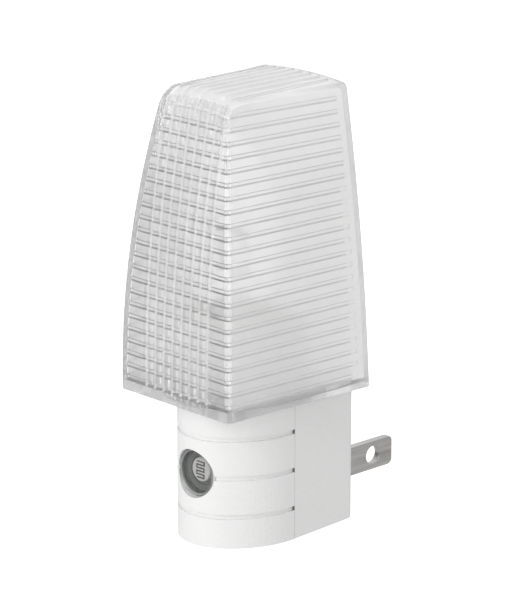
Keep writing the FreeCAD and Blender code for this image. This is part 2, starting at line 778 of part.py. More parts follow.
def makeShade():
    outer = shadeForm("ShadeOuter", "0")
    rounded(outer, "ShadeBrow", frontTopEdge, "Sizes.topFrontRadius")
    inner = shadeForm("ShadeInner", "Sizes.shadeWall")
    rounded(inner, "ShadeInnerBrow", frontTopEdge, "Sizes.topFrontRadius - Sizes.shadeWall")
    # the floor stays as a ledge that rests on the housing's shoulder
    ledge = newBody("ShadeLedge")
    slab = newSketch(ledge, "LedgePlan", "XY_Plane", "%s - Sizes.overCut" % shadeLow)
    rectangle(slab, "-Sizes.rearWidthLow", "%s - Sizes.trimMargin" % shadeFront,
              "Sizes.rearWidthLow", "Sizes.trimMargin")
    noseOutline(slab, "Sizes.towerInset - Sizes.shadeGap",
                "Sizes.seamDepth - Sizes.shadeWallGap - Sizes.shadeWall - Sizes.ledgeBackGap")
    grow(ledge, "Pad", "LedgeSlab", slab, "Sizes.shadeFloor + Sizes.overCut")
    hollow = lessen("ShadeHollow", inner, ledge)
    ribbed = lessen("ShadeRibbed", hollow, makeRibs())
    return lessen("shade", outer, ribbed)


def makeRibs():
    # level bars with the hollow's core taken out leave ridges round three sides
    core = shadeForm("ShadeCore", "Sizes.shadeWall + Sizes.ribDepth")
    count = int((size["shadeHeight"] - size["topFrontRadius"] - size["lowRibRise"])
                / size["ribPitch"]) + 1
    front = "(%s - Sizes.trimMargin)" % shadeFront
    bars = []
    for number in range(count):
        low = "%s + Sizes.lowRibRise + %d * Sizes.ribPitch - Sizes.ribHeight / 2" % (
            shadeLow, number)
        bars.append(block("RibBar%d" % (number + 1), ("-Sizes.rearWidthLow", front, low),
                          ("2 * Sizes.rearWidthLow", "-%s - Sizes.ribEndGap" % front,
                           "Sizes.ribHeight")))
    return lessen("ShadeRibs", grouped("RibBars", bars), core)


nodes = []
nodes.append(makeFrontShell())
nodes.append(makeRearShell())
nodes.append(makeBlade("blade_left", -1))
nodes.append(makeBlade("blade_right", 1))
nodes.append(makeLens())
nodes.extend(makePhotocell())
nodes.append(makeBoard())
nodes.append(makeThyristor())
nodes.append(makeAxial("resistor", "Sizes.resistorRadius", "Sizes.resistorLength",
                       "(%s + 0.35 * %s)" % (boardLow, boardHeight)))
nodes.append(makeAxial("diode", "Sizes.diodeRadius", "Sizes.diodeLength",
                       "(%s + 0.15 * %s)" % (boardLow, boardHeight)))
nodes.append(makeCapacitor())
nodes.append(makeNeutralStrip())
nodes.append(makeCentreContact())
nodes.append(makeSocketInsulator())
nodes.append(makeScrewShell())
nodes.extend(makeBulbBase())
nodes.append(makeBulbGlass())
nodes.extend(makeBulbInside())
nodes.append(makeShade())

doc.recompute()
for item in doc.Objects:
    bad = [word for word in item.State if word in ("Invalid", "Error")]
    if bad:
        raise RuntimeError("%s is %s" % (item.Name, bad))
for node in nodes:
    shape = node.Shape
    if shape.isNull() or not shape.isValid():
        raise RuntimeError("%s has no valid shape" % node.Label)
    box = shape.BoundBox
    print("%-18s %d solids %9.1f mm3  x %6.1f %6.1f  y %6.1f %6.1f  z %6.1f %6.1f" % (
        node.Label, len(shape.Solids), shape.Volume,
        box.XMin, box.XMax, box.YMin, box.YMax, box.ZMin, box.ZMax))
    shape.exportStep("parts/%s.step" % node.Label)
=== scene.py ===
import json
import math
import bpy
import bmesh
from mathutils import Matrix, Vector

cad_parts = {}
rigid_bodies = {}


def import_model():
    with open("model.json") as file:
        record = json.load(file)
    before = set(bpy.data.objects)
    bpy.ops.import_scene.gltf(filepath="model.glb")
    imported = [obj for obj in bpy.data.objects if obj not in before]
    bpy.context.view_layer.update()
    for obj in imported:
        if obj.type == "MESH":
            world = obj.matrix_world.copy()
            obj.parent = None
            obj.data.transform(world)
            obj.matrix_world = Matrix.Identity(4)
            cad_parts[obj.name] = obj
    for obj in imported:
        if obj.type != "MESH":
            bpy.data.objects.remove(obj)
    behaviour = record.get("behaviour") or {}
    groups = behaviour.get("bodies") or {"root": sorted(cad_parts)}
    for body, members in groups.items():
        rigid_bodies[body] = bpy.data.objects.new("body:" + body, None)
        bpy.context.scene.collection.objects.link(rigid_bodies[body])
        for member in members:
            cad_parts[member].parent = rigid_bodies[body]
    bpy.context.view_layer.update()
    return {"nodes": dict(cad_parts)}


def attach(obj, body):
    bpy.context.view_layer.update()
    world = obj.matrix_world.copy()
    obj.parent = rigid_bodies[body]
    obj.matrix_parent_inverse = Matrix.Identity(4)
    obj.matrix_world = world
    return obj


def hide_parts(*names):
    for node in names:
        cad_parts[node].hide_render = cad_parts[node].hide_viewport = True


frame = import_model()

mm = 0.001
near = 0.0001        # two places in millimetres that differ by less are the same
nodes = frame["nodes"]


def addNode(tree, kind, **settings):
    node = tree.nodes.new(kind)
    for name, value in settings.items():
        setattr(node, name, value)
    return node


def newMaterial(name):
    material = bpy.data.materials.new(name)
    material.use_nodes = True
    tree = material.node_tree
    shader = tree.nodes["Principled BSDF"]
    return material, tree, shader


def makeGrainGroup():
    # fine mottling for moulded and drawn surfaces: a colour, a roughness and a height
    group = bpy.data.node_groups.new("surfaceGrain", "ShaderNodeTree")
    face = group.interface
    face.new_socket("Colour", in_out="INPUT", socket_type="NodeSocketColor")
    face.new_socket("Scale", in_out="INPUT", socket_type="NodeSocketFloat")
    face.new_socket("Stretch", in_out="INPUT", socket_type="NodeSocketVector")
    face.new_socket("Variation", in_out="INPUT", socket_type="NodeSocketFloat")
    face.new_socket("Roughness", in_out="INPUT", socket_type="NodeSocketFloat")
    face.new_socket("Colour", in_out="OUTPUT", socket_type="NodeSocketColor")
    face.new_socket("Roughness", in_out="OUTPUT", socket_type="NodeSocketFloat")
    face.new_socket("Height", in_out="OUTPUT", socket_type="NodeSocketFloat")
    start = addNode(group, "NodeGroupInput")
    end = addNode(group, "NodeGroupOutput")
    place = addNode(group, "ShaderNodeTexCoord")
    stretch = addNode(group, "ShaderNodeMapping")
    fine = addNode(group, "ShaderNodeTexNoise")
    broad = addNode(group, "ShaderNodeTexNoise")
    broad.inputs["Scale"].default_value = 90
    fine.inputs["Detail"].default_value = 4
    both = addNode(group, "ShaderNodeMath", operation="ADD")
    spread = addNode(group, "ShaderNodeMath", operation="MULTIPLY_ADD")
    spread.inputs[2].default_value = 1.0
    centred = addNode(group, "ShaderNodeMath", operation="SUBTRACT")
    centred.inputs[1].default_value = 1.0
    tint = addNode(group, "ShaderNodeMix", data_type="RGBA", blend_type="MULTIPLY")
    tint.inputs[0].default_value = 1.0
    rough = addNode(group, "ShaderNodeMath", operation="MULTIPLY")
    link = group.links.new
    link(place.outputs["Object"], stretch.inputs["Vector"])
    link(start.outputs["Stretch"], stretch.inputs["Scale"])
    link(stretch.outputs["Vector"], fine.inputs["Vector"])
    link(stretch.outputs["Vector"], broad.inputs["Vector"])
    link(start.outputs["Scale"], fine.inputs["Scale"])
    link(fine.outputs["Fac"], both.inputs[0])
    link(broad.outputs["Fac"], both.inputs[1])
    link(both.outputs[0], centred.inputs[0])
    link(centred.outputs[0], spread.inputs[0])
    link(start.outputs["Variation"], spread.inputs[1])
    link(start.outputs["Colour"], tint.inputs[6])
    link(spread.outputs[0], tint.inputs[7])
    link(tint.outputs[2], end.inputs["Colour"])
    link(start.outputs["Roughness"], rough.inputs[0])
    link(spread.outputs[0], rough.inputs[1])
    link(rough.outputs[0], end.inputs["Roughness"])
    link(fine.outputs["Fac"], end.inputs["Height"])
    return group


grainGroup = makeGrainGroup()


def grained(name, colour, roughness, scale, variation=0.05, stretch=(1, 1, 1), bump=0.1,
            bumpDepth=0.00004, metallic=0.0):
    material, tree, shader = newMaterial(name)
    grain = addNode(tree, "ShaderNodeGroup", node_tree=grainGroup)
    grain.inputs["Colour"].default_value = (*colour, 1)
    grain.inputs["Scale"].default_value = scale
    grain.inputs["Stretch"].default_value = stretch
    grain.inputs["Variation"].default_value = variation
    grain.inputs["Roughness"].default_value = roughness
    raised = addNode(tree, "ShaderNodeBump")
    raised.inputs["Strength"].default_value = bump
    raised.inputs["Distance"].default_value = bumpDepth
    tree.links.new(grain.outputs["Colour"], shader.inputs["Base Color"])
    tree.links.new(grain.outputs["Roughness"], shader.inputs["Roughness"])
    tree.links.new(grain.outputs["Height"], raised.inputs["Height"])
    tree.links.new(raised.outputs["Normal"], shader.inputs["Normal"])
    shader.inputs["Metallic"].default_value = metallic
    return material


def clear(name, colour, roughness, ior=1.45, variation=0.02, through=1.0, paintedGlow=0.0):
    # a see-through moulding: faint flow marks in its surface, a little haze below through 1,
    # and a faint painted glow, emitted light that brightens its walls though they are no lamp
    material = grained(name, colour, roughness, scale=300, variation=variation, bump=0.06)
    shader = material.node_tree.nodes["Principled BSDF"]
    shader.inputs["Transmission Weight"].default_value = through
    shader.inputs["IOR"].default_value = ior
    shader.inputs["Emission Color"].default_value = (1, 1, 1, 1)
    shader.inputs["Emission Strength"].default_value = paintedGlow
    return material


white = (1, 1, 1)
materials = {
    "housing": grained("housingWhite", (0.83, 0.83, 0.825), 0.5, 1700, bump=1.0,
                       bumpDepth=0.00012),
    # every shade finish below carries a painted glow, emitted light that brightens it
    "shade": clear("shadeClear", white, 0.03, through=0.95, paintedGlow=0.02),
    "shadeSide": clear("shadeSideFace", white, 0.06, through=0.78, paintedGlow=0.06),
    "frontInside": clear("shadeFrontInside", white, 0.09, through=0.74, paintedGlow=0.02),
    "haze": clear("shadeInside", white, 0.2, through=0.58, paintedGlow=0.04),
    # painted shade: grey on the ribs' flanks, darker on the front, lighter on the sides
    "ribPaintedShade": clear("shadeFrontFlankPaintedShade", (0.28, 0.28, 0.29), 0.14, through=0.5),
    "ribSoftPaintedShade": clear("shadeSideFlankPaintedShade", (0.62, 0.62, 0.63), 0.14, through=0.5),
    # painted highlight along the front corners, white with a painted glow
    "cornerPaintedHighlight": clear("shadeCornerPaintedHighlight", white, 0.3, through=0.42, paintedGlow=0.06),
    "lens": clear("lensClear", (0.95, 0.97, 0.95), 0.03, ior=1.4, through=0.98),
    "lensRim": clear("lensRim", (0.74, 0.75, 0.74), 0.04, through=0.68),
    # painted shade on the collar's bore
    "lensBorePaintedShade": clear("lensBorePaintedShade", (0.30, 0.32, 0.30), 0.12, through=0.5),
    # painted shadow for the joint between the shells
    "seam": grained("seamShadow", (0.16, 0.16, 0.16), 0.8, 900),
    "blade": grained("bladeNickel", (0.52, 0.51, 0.50), 0.34, 1600, variation=0.9,
                     stretch=(1, 0.05, 1), bump=1.0, metallic=1.0),
    "well": grained("sensorWell", (0.075, 0.085, 0.078), 0.35, 900, variation=0.6),
    "cell": grained("cellFace", (0.66, 0.62, 0.625), 0.6, 2400, variation=0.12),
    "track": grained("cellTrack", (0.02, 0.018, 0.018), 0.5, 2400, variation=0.1),
    "wire": grained("tinnedWire", (0.6, 0.6, 0.58), 0.3, 3000, metallic=1.0),
    "board": grained("boardLacquer", (0.03, 0.12, 0.05), 0.35, 900, variation=0.15),
    "epoxy": grained("blackEpoxy", (0.02, 0.02, 0.02), 0.45, 1500),
    "resistor": grained("resistorCoat", (0.5, 0.38, 0.22), 0.4, 1500),
    "capacitor": grained("capacitorCoat", (0.06, 0.16, 0.4), 0.3, 900),
    "brass": grained("brass", (0.72, 0.52, 0.22), 0.28, 3000, variation=0.1, metallic=1.0),
    "phenolic": grained("socketPhenolic", (0.80, 0.79, 0.76), 0.45, 2200, variation=0.04),
    # the bulb's glass carries a painted glow that brightens it
    "bulb": clear("bulbGlass", (0.99, 0.99, 0.99), 0.0, ior=1.15, variation=0.005, paintedGlow=0.05),
    "bulbBlack": grained("bulbBlackGlass", (0.02, 0.02, 0.025), 0.15, 800),
    "tungsten": grained("tungsten", (0.25, 0.25, 0.26), 0.4, 3000, metallic=1.0),
}

finishes = {
    "photocell_leads": "wire", "circuit_board": "board", "thyristor": "epoxy",
    "resistor": "resistor", "diode": "epoxy", "capacitor": "capacitor",
    "neutral_strip": "brass", "centre_contact": "brass", "socket_insulator": "phenolic",
    "socket_shell": "wire", "bulb_screw_base": "wire", "bulb_insulator": "bulbBlack",
    "bulb_contact": "wire", "bulb_stem": "bulb", "filament_leads": "wire",
    "filament": "tungsten", "bulb_glass": "bulb",
}
for nodeName, finish in finishes.items():
    slots = nodes[nodeName].data.materials
    slots.clear()
    slots.append(materials[finish])
print("materials made")


def finished(name, mesh, body, slot, *replaced):
    piece = bpy.data.objects.new(name, mesh)
    bpy.context.scene.collection.objects.link(piece)
    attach(piece, body)
    if replaced:
        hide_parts(*replaced)
    return piece


def meshFrom(bm, name, *finishNames, sharp=35):
    bmesh.ops.recalc_face_normals(bm, faces=bm.faces)
    mesh = bpy.data.meshes.new(name)
    bm.to_mesh(mesh)
    bm.free()
    for finishName in finishNames:
        mesh.materials.append(materials[finishName])
    mesh.shade_smooth()
    mesh.set_sharp_from_angle(angle=math.radians(sharp))
    return mesh


# The clear shade, in millimetres. Its front and sides bow outwards and lean in towards the top
shadeForm = {
    "low": 20.8,
    "height": 63.9,
    "floor": 2.0,
    "wall": 1.2,
    "front": -39.25,
    "back": -0.25,
    "frontLean": 6.2,
    "frontBow": 1.75,
    "rearLean": 1.75,
    "frontHalfLow": 16.45,
    "frontHalfTop": 9.47,
    "frontSideBow": 1.9,
    "rearHalfLow": 18.2,
    "rearHalfTop": 12.15,
    "rearSideBow": 1.07,
    "crown": 0.75,
    "crownBlend": 6,
    "browRadius": 3.75,
    "edgeRadius": 1.1,
    "leastBrow": 0.8,
    "leastEdge": 0.4,
    "insideEdge": 0.6,
    "openingMiddle": -21.5,
    "openingHalf": 11.95,
    "openingFront": 12.2,
    "openingBack": 19.25,
}

# The ribs lie across its inside, the flutes run up the outside of its front and over the top
waves = {
    "ribs": 23,
    "ribPitch": 2.635,
    "lowRib": 23.6,
    "ribHalf": 0.26,
    "ribFlank": 0.28,
    "ribDepth": 0.4,
    "ribEnd": 3.1,
    "flutes": 8,
    "flutePitch": 2.6,
    "fluteHalf": 0.5,
    "fluteDepth": 0.36,
    "fluteStart": 2.2,
    "fluteEnd": 3.0,
    "fluteSteps": 8,
}

# How finely the walls are divided. Ends and starts are rows in millimetres about a wave's end
wallGrid = {
    "roundEnd": (0, 0.12, 0.3, 0.5, 0.72),
    "outsideAcross": 10,
    "outsideAlong": 14,
    "outsideUp": 22,
    "firstRow": 4,
    "besideFlutes": 0.2,
    "fluteStart": (-0.1, 0.1),
    "fluteEnd": (-0.15, 0.05),
    "browAlong": (0.4, 0.8),
    "browUp": (0.8, 0.6, 0.45, 0.3, 0.18, 0.08, 0),
    "insideAcross": 8,
    "insideAlong": 12,
    "besideMarks": 0.3,
    "ribEnd": (-0.05, 0.15),
    "underHead": (0.5, 0.2, 0),
    "leastRow": 0.05,
}

# Where each finish of the shade starts and stops, in millimetres, among them the painted shade on the
# rib flanks and the painted corner highlight
shadePaint = {
    "sideFacing": 0.8,
    "rearBand": 0.2,
    "frontBand": 0.7,
    "flankGap": 0.42,
    "flankTallest": 0.392,
    "flanksEnd": 1,
    "cornerReach": 0.65,
}
shadeFinishes = ("shade", "ribPaintedShade", "haze", "ribSoftPaintedShade", "cornerPaintedHighlight", "shadeSide", "frontInside")


def cornered(a, b, aEdge, bEdge, radius):
    # turns the square corner where a reaches aEdge and b reaches bEdge into a round one
    aSign = math.copysign(1, aEdge[1] - aEdge[0])
    bSign = math.copysign(1, bEdge[1] - bEdge[0])
    aIn = (a - (aEdge[1] - aSign * radius)) * aSign
    bIn = (b - (bEdge[1] - bSign * radius)) * bSign
    if aIn <= 0 or bIn <= 0:
        return a, b
    longest = max(aIn, bIn)
    shrink = longest / math.hypot(aIn, bIn)
    return a - aSign * aIn * (1 - shrink), b - bSign * bIn * (1 - shrink)


def bowed(low, high, bow, part):
    return low + (high - low) * part + 4 * bow * part * (1 - part)


def shadeHalf(depthPart, heightPart):
    form = shadeForm
    front = bowed(form["frontHalfLow"], form["frontHalfTop"], form["frontSideBow"], heightPart)
    rear = bowed(form["rearHalfLow"], form["rearHalfTop"], form["rearSideBow"], heightPart)
    return front + (rear - front) * depthPart


def shadeFront(heightPart):
    form = shadeForm
    return bowed(form["front"], form["front"] + form["frontLean"], -form["frontBow"], heightPart)


def steps(low, high, count):
    return [low + (high - low) * index / count for index in range(count + 1)]


def edged(low, high, radius, count):
    # even steps with closer ones in the rounded ends
    ends = [radius * part for part in wallGrid["roundEnd"]]
    left = [low + reach for reach in ends]
    right = [high - reach for reach in reversed(ends)]
    return left + steps(low + radius, high - radius, count) + right


def ribLevels():
    return [waves["lowRib"] + waves["ribPitch"] * index for index in range(waves["ribs"])]


def outerFlute():
    return waves["flutePitch"] * (waves["flutes"] - 1) / 2


def fluteLines():
    return steps(-outerFlute(), outerFlute(), waves["flutes"] - 1)


def gridBox(acrosses, alongs, ups):
    # a cube cut into rows and columns, which then move to the given places
    bm = bmesh.new()
    bmesh.ops.create_cube(bm, size=2)
    for axis, places in enumerate((acrosses, alongs, ups)):
        wanted = [edge for edge in bm.edges
                  if abs(edge.verts[0].co[axis] - edge.verts[1].co[axis]) > 1]
        bmesh.ops.subdivide_edges(bm, edges=wanted, cuts=len(places) - 2, use_grid_fill=True)
    for vert in bm.verts:
        for axis, places in enumerate((acrosses, alongs, ups)):
            number = round((vert.co[axis] + 1) / 2 * (len(places) - 1))
            vert.co[axis] = places[number]
    return bm


def bump(distance, half):
    # a smooth narrow hump
    if abs(distance) >= half:
        return 0
    return 0.5 + 0.5 * math.cos(math.pi * distance / half)


def shadeShell(inset, floorLevel, places, ridge, flute):
    # ridge and flute say how far a rib or a flute stands out at a point
    form = shadeForm
    half, front, back = form["frontHalfLow"] - inset, form["front"] + inset, form["back"] - inset
    head = form["low"] + form["height"] - inset
    brow = max(form["browRadius"] - inset, form["leastBrow"])
    edge = max(form["edgeRadius"] - inset / 2, form["leastEdge"])
    bm = gridBox(*places)
    floorFaces = [face for face in bm.faces
                  if all(abs(vert.co.z - floorLevel) < near for vert in face.verts)]
    bmesh.ops.delete(bm, geom=floorFaces, context="FACES")
    for vert in bm.verts:
        x, y, z = vert.co
        onSide, onFront, onTop = abs(abs(x) - half) < near, abs(y - front) < near, abs(z - head) < near
        rib = ridge(y, z) if onSide or onFront else 0
        hump = flute(x, y, z) if onFront or onTop else 0
        y, z = cornered(y, z, (back, front), (front, head), brow)
        y, z = cornered(y, z, (front, back), (front, head), edge)
        for side in (-half, half):
            x, z = cornered(x, z, (0, side), (front, head), edge)
            x, y = cornered(x, y, (0, side), (back, front), edge)
            x, y = cornered(x, y, (0, side), (front, back), edge)
        heightPart = (z - form["low"]) / form["height"]
        depthPart = (y - front) / (back - front)
        width = shadeHalf(depthPart, heightPart) - inset
        steady = outerFlute()        # up to here the flutes stay parallel, beyond it the wall tapers
        if abs(x) > steady:
            share = (width - steady) / (half - steady)
            x = math.copysign(steady + (abs(x) - steady) * share, x)
        frontHere = shadeFront(heightPart) + inset
        backHere = back - form["rearLean"] * heightPart
        y = frontHere + (backHere - frontHere) * depthPart
        if onSide:
            x -= math.copysign(rib, x)
        if onFront:
            y += rib - hump
        if onTop:
            z += hump
        nearTop = max(0, min(1, (z - head) / form["crownBlend"] + 1))
        z += form["crown"] * (1 - (x / width) ** 2) * nearTop
        vert.co = Vector((x, y, z)) * mm
    return bm


def noWave(*place):
    return 0


def ridgeAt(y, z):
    if y > shadeForm["back"] - waves["ribEnd"]:
        return 0
    on = any(abs(z - level) <= waves["ribHalf"] + near for level in ribLevels())
    return waves["ribDepth"] if on else 0


def fluteAt(x, y, z):
    if z < shadeForm["low"] + waves["fluteStart"] or y > shadeForm["back"] - waves["fluteEnd"]:
        return 0
    return waves["fluteDepth"] * max(bump(x - line, waves["fluteHalf"]) for line in fluteLines())


def aboutPlace(place, offsets):
    return [place + offset for offset in offsets]


def outsidePlaces():
    # rows and columns of the outer wall: closer where flutes and round edges come
    form = shadeForm
    half, top, brow = form["frontHalfLow"], form["low"] + form["height"], form["browRadius"]
    fluteSpots = [line + waves["fluteHalf"] * part
                  for line in fluteLines() for part in steps(-1, 1, waves["fluteSteps"])]
    beside = max(fluteSpots) + wallGrid["besideFlutes"]
    acrosses = fluteSpots + [place for place in edged(-half, half, form["edgeRadius"],
                                                      wallGrid["outsideAcross"]) if abs(place) > beside]
    alongs = edged(form["front"], form["back"], form["edgeRadius"], wallGrid["outsideAlong"])
    alongs += [form["front"] + brow * part for part in wallGrid["browAlong"]]
    alongs += aboutPlace(form["back"] - waves["fluteEnd"], wallGrid["fluteEnd"])
    ups = [form["low"]] + aboutPlace(form["low"] + waves["fluteStart"], wallGrid["fluteStart"])
    ups += steps(form["low"] + wallGrid["firstRow"], top - brow, wallGrid["outsideUp"])
    ups += [top - brow * part for part in wallGrid["browUp"]]
    return sorted(acrosses), sorted(alongs), ups


def insidePlaces():
    # rows and columns of the inner wall: every rib has two edges and two flanks
    form = shadeForm
    inset, edge, gap = form["wall"], form["insideEdge"], shadePaint["flankGap"]
    half, head = form["frontHalfLow"] - inset, form["low"] + form["height"] - inset
    marks = [line + side for line in fluteLines() for side in (-gap, gap)]
    beside = max(marks) + wallGrid["besideMarks"]
    acrosses = marks + [place for place in edged(-half, half, edge, wallGrid["insideAcross"])
                        if abs(place) > beside]
    alongs = edged(form["front"] + inset, form["back"] - inset, edge, wallGrid["insideAlong"])
    alongs += aboutPlace(form["back"] - waves["ribEnd"], wallGrid["ribEnd"])
    rise, foot = waves["ribHalf"], waves["ribHalf"] + waves["ribFlank"]
    floorLevel = form["low"] + form["floor"]
    ups = [level + step for level in ribLevels() for step in (-foot, -rise, rise, foot)]
    ups = [floorLevel] + [place for place in ups if place >= floorLevel]
    lastUp = ups[-1] + wallGrid["leastRow"]
    ups += [head - drop for drop in wallGrid["underHead"] if head - drop > lastUp]
    return sorted(acrosses), sorted(alongs), ups


def paintOutside(bm):
    # the sides and the back scatter more than the front and carry more painted glow, which brightens
    # them
    rear = shadeForm["back"] - shadeForm["rearLean"] - shadePaint["rearBand"]
    for face in bm.faces:
        onRear = face.calc_center_median().y / mm > rear
        if onRear or abs(face.normal.x) > shadePaint["sideFacing"]:
            face.material_index = shadeFinishes.index("shadeSide")


def paintInside(bm):
    # painted shade on the flanks of the ribs, darker on the front than on the sides; the rest is
    # slightly frosted
    form = shadeForm
    inset, top = form["wall"], form["low"] + form["height"]
    flanksEnd = top - inset - shadePaint["flanksEnd"]
    ribStop = form["back"] - waves["ribEnd"] - form["rearLean"]
    for face in bm.faces:
        centre = face.calc_center_median() / mm
        heights = [vert.co.z / mm for vert in face.verts]
        heightPart = (centre.z - form["low"]) / form["height"]
        depth = centre.y - shadeFront(heightPart) - inset
        aside = shadeHalf(0, heightPart) - inset - abs(centre.x)
        flank = max(heights) - min(heights) < shadePaint["flankTallest"] and centre.z < flanksEnd
        underFlute = min(abs(centre.x - line) for line in fluteLines()) < shadePaint["flankGap"]
        onFront = depth < shadePaint["frontBand"]
        onCorner = max(depth, aside) < shadePaint["cornerReach"]
        onWall = centre.z > form["low"] + form["floor"]
        finish = "haze"
        # the front corners get a painted highlight
        if onCorner and onWall and not flank:
            finish = "cornerPaintedHighlight"
        elif flank and onFront and not underFlute and centre.z < top - form["browRadius"]:
            finish = "ribPaintedShade"
        elif flank and not onFront and centre.y < ribStop:
            finish = "ribSoftPaintedShade"
        elif onFront and not underFlute:
            finish = "frontInside"
        face.material_index = shadeFinishes.index(finish)


def openingReach(angle):
    # from the opening's middle to its edge: half an oval towards the front, a box behind
    form = shadeForm
    dx, dy = math.cos(angle), math.sin(angle)
    if dy < 0:
        return 1 / math.hypot(dx / form["openingHalf"], dy / form["openingFront"])
    across = form["openingHalf"] / max(abs(dx), near)
    along = form["openingBack"] / max(dy, near)
    return min(across, along)


def rimOf(bm):
    return [edge for edge in bm.edges if edge.is_boundary]


def closeLedge(bm, rimOut, rimIn):
    # the floor runs in to the tower's opening, down its edge and out again below
    low, middle = shadeForm["low"], shadeForm["openingMiddle"]
    ledgeTop = low + shadeForm["floor"]
    for level in (ledgeTop, low):
        grown = bmesh.ops.extrude_edge_only(bm, edges=rimIn)["geom"]
        rimIn = [item for item in grown if isinstance(item, bmesh.types.BMEdge)]
        for vert in [item for item in grown if isinstance(item, bmesh.types.BMVert)]:
            angle = math.atan2(vert.co.y / mm - middle, vert.co.x / mm)
            reach = openingReach(angle)
            vert.co = Vector((reach * math.cos(angle), middle + reach * math.sin(angle), level)) * mm
    bmesh.ops.bridge_loops(bm, edges=rimOut + rimIn)
    # the ledge's plain faces take the side finish, whose painted glow brightens the underside of the
    # floor
    plain, side = shadeFinishes.index("shade"), shadeFinishes.index("shadeSide")
    for face in bm.faces:
        if face.material_index == plain and face.calc_center_median().z / mm < ledgeTop + near:
            face.material_index = side


def makeShade():
    form = shadeForm
    outer = shadeShell(0, form["low"], outsidePlaces(), noWave, fluteAt)
    paintOutside(outer)
    inner = shadeShell(form["wall"], form["low"] + form["floor"], insidePlaces(), ridgeAt, noWave)
    bmesh.ops.reverse_faces(inner, faces=inner.faces)
    paintInside(inner)
    inside = bpy.data.meshes.new("shadeInside")
    inner.to_mesh(inside)
    inner.free()
    rimOut = rimOf(outer)
    outer.from_mesh(inside)
    bpy.data.meshes.remove(inside)
    known = set(rimOut)
    closeLedge(outer, rimOut, [edge for edge in rimOf(outer) if edge not in known])
    mesh = meshFrom(outer, "shade_moulding", *shadeFinishes, sharp=28)
    finished("shade_moulding", mesh, "shade", "clear_shade", "shade")


makeShade()
print("shade made")

# The light sensor behind its window, in millimetres
sensor = {
    "across": 0.3,
    "level": 5.12,
    "holeRadius": 5.2,
    "holeMiddle": -33,
    "holeDepth": 5,
    "tip": -33.45,
    "radius": 5.12,
    "rimWidth": 0.6,
    "lip": 0.15,
    "crown": 0.1,
    "paneSunk": 0.4,
    "paneDome": 0.35,
    "paneGap": 0.02,
    "glass": 0.45,
    "stepIn": 0.2,
    "collarStep": -30.8,
    "back": -27.8,
    "wellRadius": 4.3,
    "wellDepth": 2.1,
    "cellRadius": 2.45,
    "cellFront": -31.95,
    "cellThickness": 0.85,
    "cellRise": 0.25,
    "trackRows": 6,
    "trackPitch": 0.66,
    "trackHalf": 1.0,
    "trackWidth": 0.3,
    "trackHeight": 0.04,
}


def sensorPlace(across=0, along=0, up=0):
    return Vector((sensor["across"] + across, along, sensor["level"] + up)) * mm


def windowCutter():
    # opens the window's hole to the width that the photograph shows
    bm = bmesh.new()
    hole = sensor["holeRadius"] * mm
    turned = Matrix.Rotation(math.pi / 2, 4, "X")
    place = Matrix.Translation(sensorPlace(along=sensor["holeMiddle"]))
    bmesh.ops.create_cone(bm, cap_ends=True, segments=96, radius1=hole, radius2=hole,
                          depth=sensor["holeDepth"] * mm, matrix=place @ turned)
    return meshFrom(bm, "windowCutter")


# How far the sharp edges are broken, in millimetres, and the shadow line in the joint
brokenEdges = {
    "casing": 0.18,
    "blade": 0.16,
    "segments": 3,
    "sharpAngle": 35,
}
seamLine = {
    "inset": 0.05,
    "forward": 0.16,
    "thickness": 0.28,
}


def cutBy(mesh, cutter):
    # the mesh less the cutter, worked out once with two short-lived objects
    scene = bpy.context.scene.collection.objects
    whole, tool = [bpy.data.objects.new("short", part) for part in (mesh, cutter)]
    for item in (whole, tool):
        scene.link(item)
    cut = whole.modifiers.new("cut", "BOOLEAN")
    cut.object = tool
    cut.operation = "DIFFERENCE"
    cut.solver = "EXACT"
    done = bpy.data.meshes.new_from_object(whole.evaluated_get(bpy.context.evaluated_depsgraph_get()))
    for item in (whole, tool):
        bpy.data.objects.remove(item)
    return done


def softened(nodeName, name, slot, finish, width, cutter=None):
    # a CAD piece with its sharp edges broken, as moulding and stamping leave them
    source = nodes[nodeName].data
    if cutter:
        source = cutBy(source.copy(), cutter)
    bm = bmesh.new()
    bm.from_mesh(source)
    bmesh.ops.remove_doubles(bm, verts=bm.verts, dist=0.002 * mm)
    bmesh.ops.dissolve_limit(bm, angle_limit=math.radians(0.5), verts=bm.verts, edges=bm.edges)
    mesh = meshFrom(bm, name, finish, sharp=brokenEdges["sharpAngle"])
    piece = finished(name, mesh, "housing", slot, nodeName)
    bevel = piece.modifiers.new("brokenEdges", "BEVEL")
    bevel.width = width * mm
    bevel.segments = brokenEdges["segments"]
    bevel.limit_method = "ANGLE"
    bevel.angle_limit = math.radians(brokenEdges["sharpAngle"])
    bevel.harden_normals = True


def makeSeamLine():
    # a dark sheet in the joint between the two shells: painted shadow, seen in the joint's bevel and at
    # the groove ends
    bm = bmesh.new()
    bm.from_mesh(nodes["rear_shell"].data)
    seam = min(vert.co.y for vert in bm.verts)
    off = [face for face in bm.faces if any(vert.co.y > seam + 0.01 * mm for vert in face.verts)]
    bmesh.ops.delete(bm, geom=off, context="FACES")
    bmesh.ops.dissolve_limit(bm, angle_limit=math.radians(1), verts=bm.verts, edges=bm.edges)
    bmesh.ops.inset_region(bm, faces=bm.faces, thickness=seamLine["inset"] * mm, use_boundary=True)
    rim = [face for face in bm.faces if any(edge.is_boundary for edge in face.edges)]
    bmesh.ops.delete(bm, geom=rim, context="FACES")
    bmesh.ops.translate(bm, vec=(0, -seamLine["forward"] * mm, 0), verts=bm.verts)
    bmesh.ops.solidify(bm, geom=bm.faces[:], thickness=seamLine["thickness"] * mm)
    mesh = meshFrom(bm, "seam_line", "seam")
    finished("seam_line", mesh, "housing", "housing_white")


